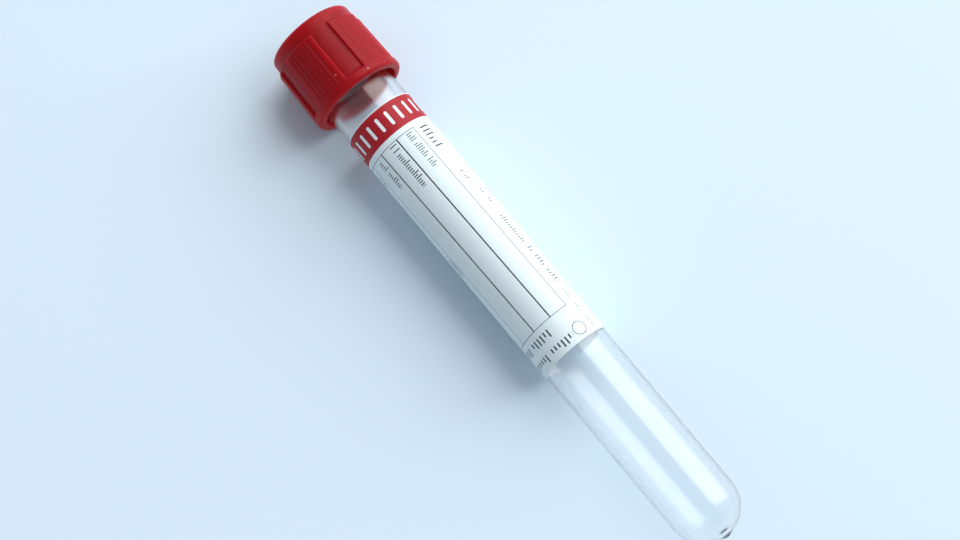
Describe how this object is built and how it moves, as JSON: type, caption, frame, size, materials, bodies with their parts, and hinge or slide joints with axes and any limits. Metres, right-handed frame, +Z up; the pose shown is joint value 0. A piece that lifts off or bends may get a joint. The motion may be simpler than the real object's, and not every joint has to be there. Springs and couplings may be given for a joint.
{
  "type": "blood collection tube",
  "caption": "Clear plastic evacuated blood collection tube lying on its side, with a red ribbed safety closure and a white form label with a red band.",
  "frame": {"origin": "on the table under the middle of the whole, as it lies", "axes": "+X along the tube towards the cap, +Z up"},
  "size_m": [0.1076, 0.017, 0.0169],
  "materials": {
    "clear_plastic": "clear",
    "label_film": "satin",
    "red_plastic": "satin",
    "grey_rubber": "matte",
    "black_plastic": "matte"
  },
  "bodies": {
    "tube": {"tube": "clear_plastic", "label": "label_film"},
    "closure": {"cap": "red_plastic", "stopper": "grey_rubber", "retaining_ring": "black_plastic"}
  },
  "joints": [
    {"name": "closure_pull", "type": "slide", "parent": "tube", "child": "closure", "axis": [0.9996, 0, 0.0277], "range_m": [0, 0.02]}
  ]
}
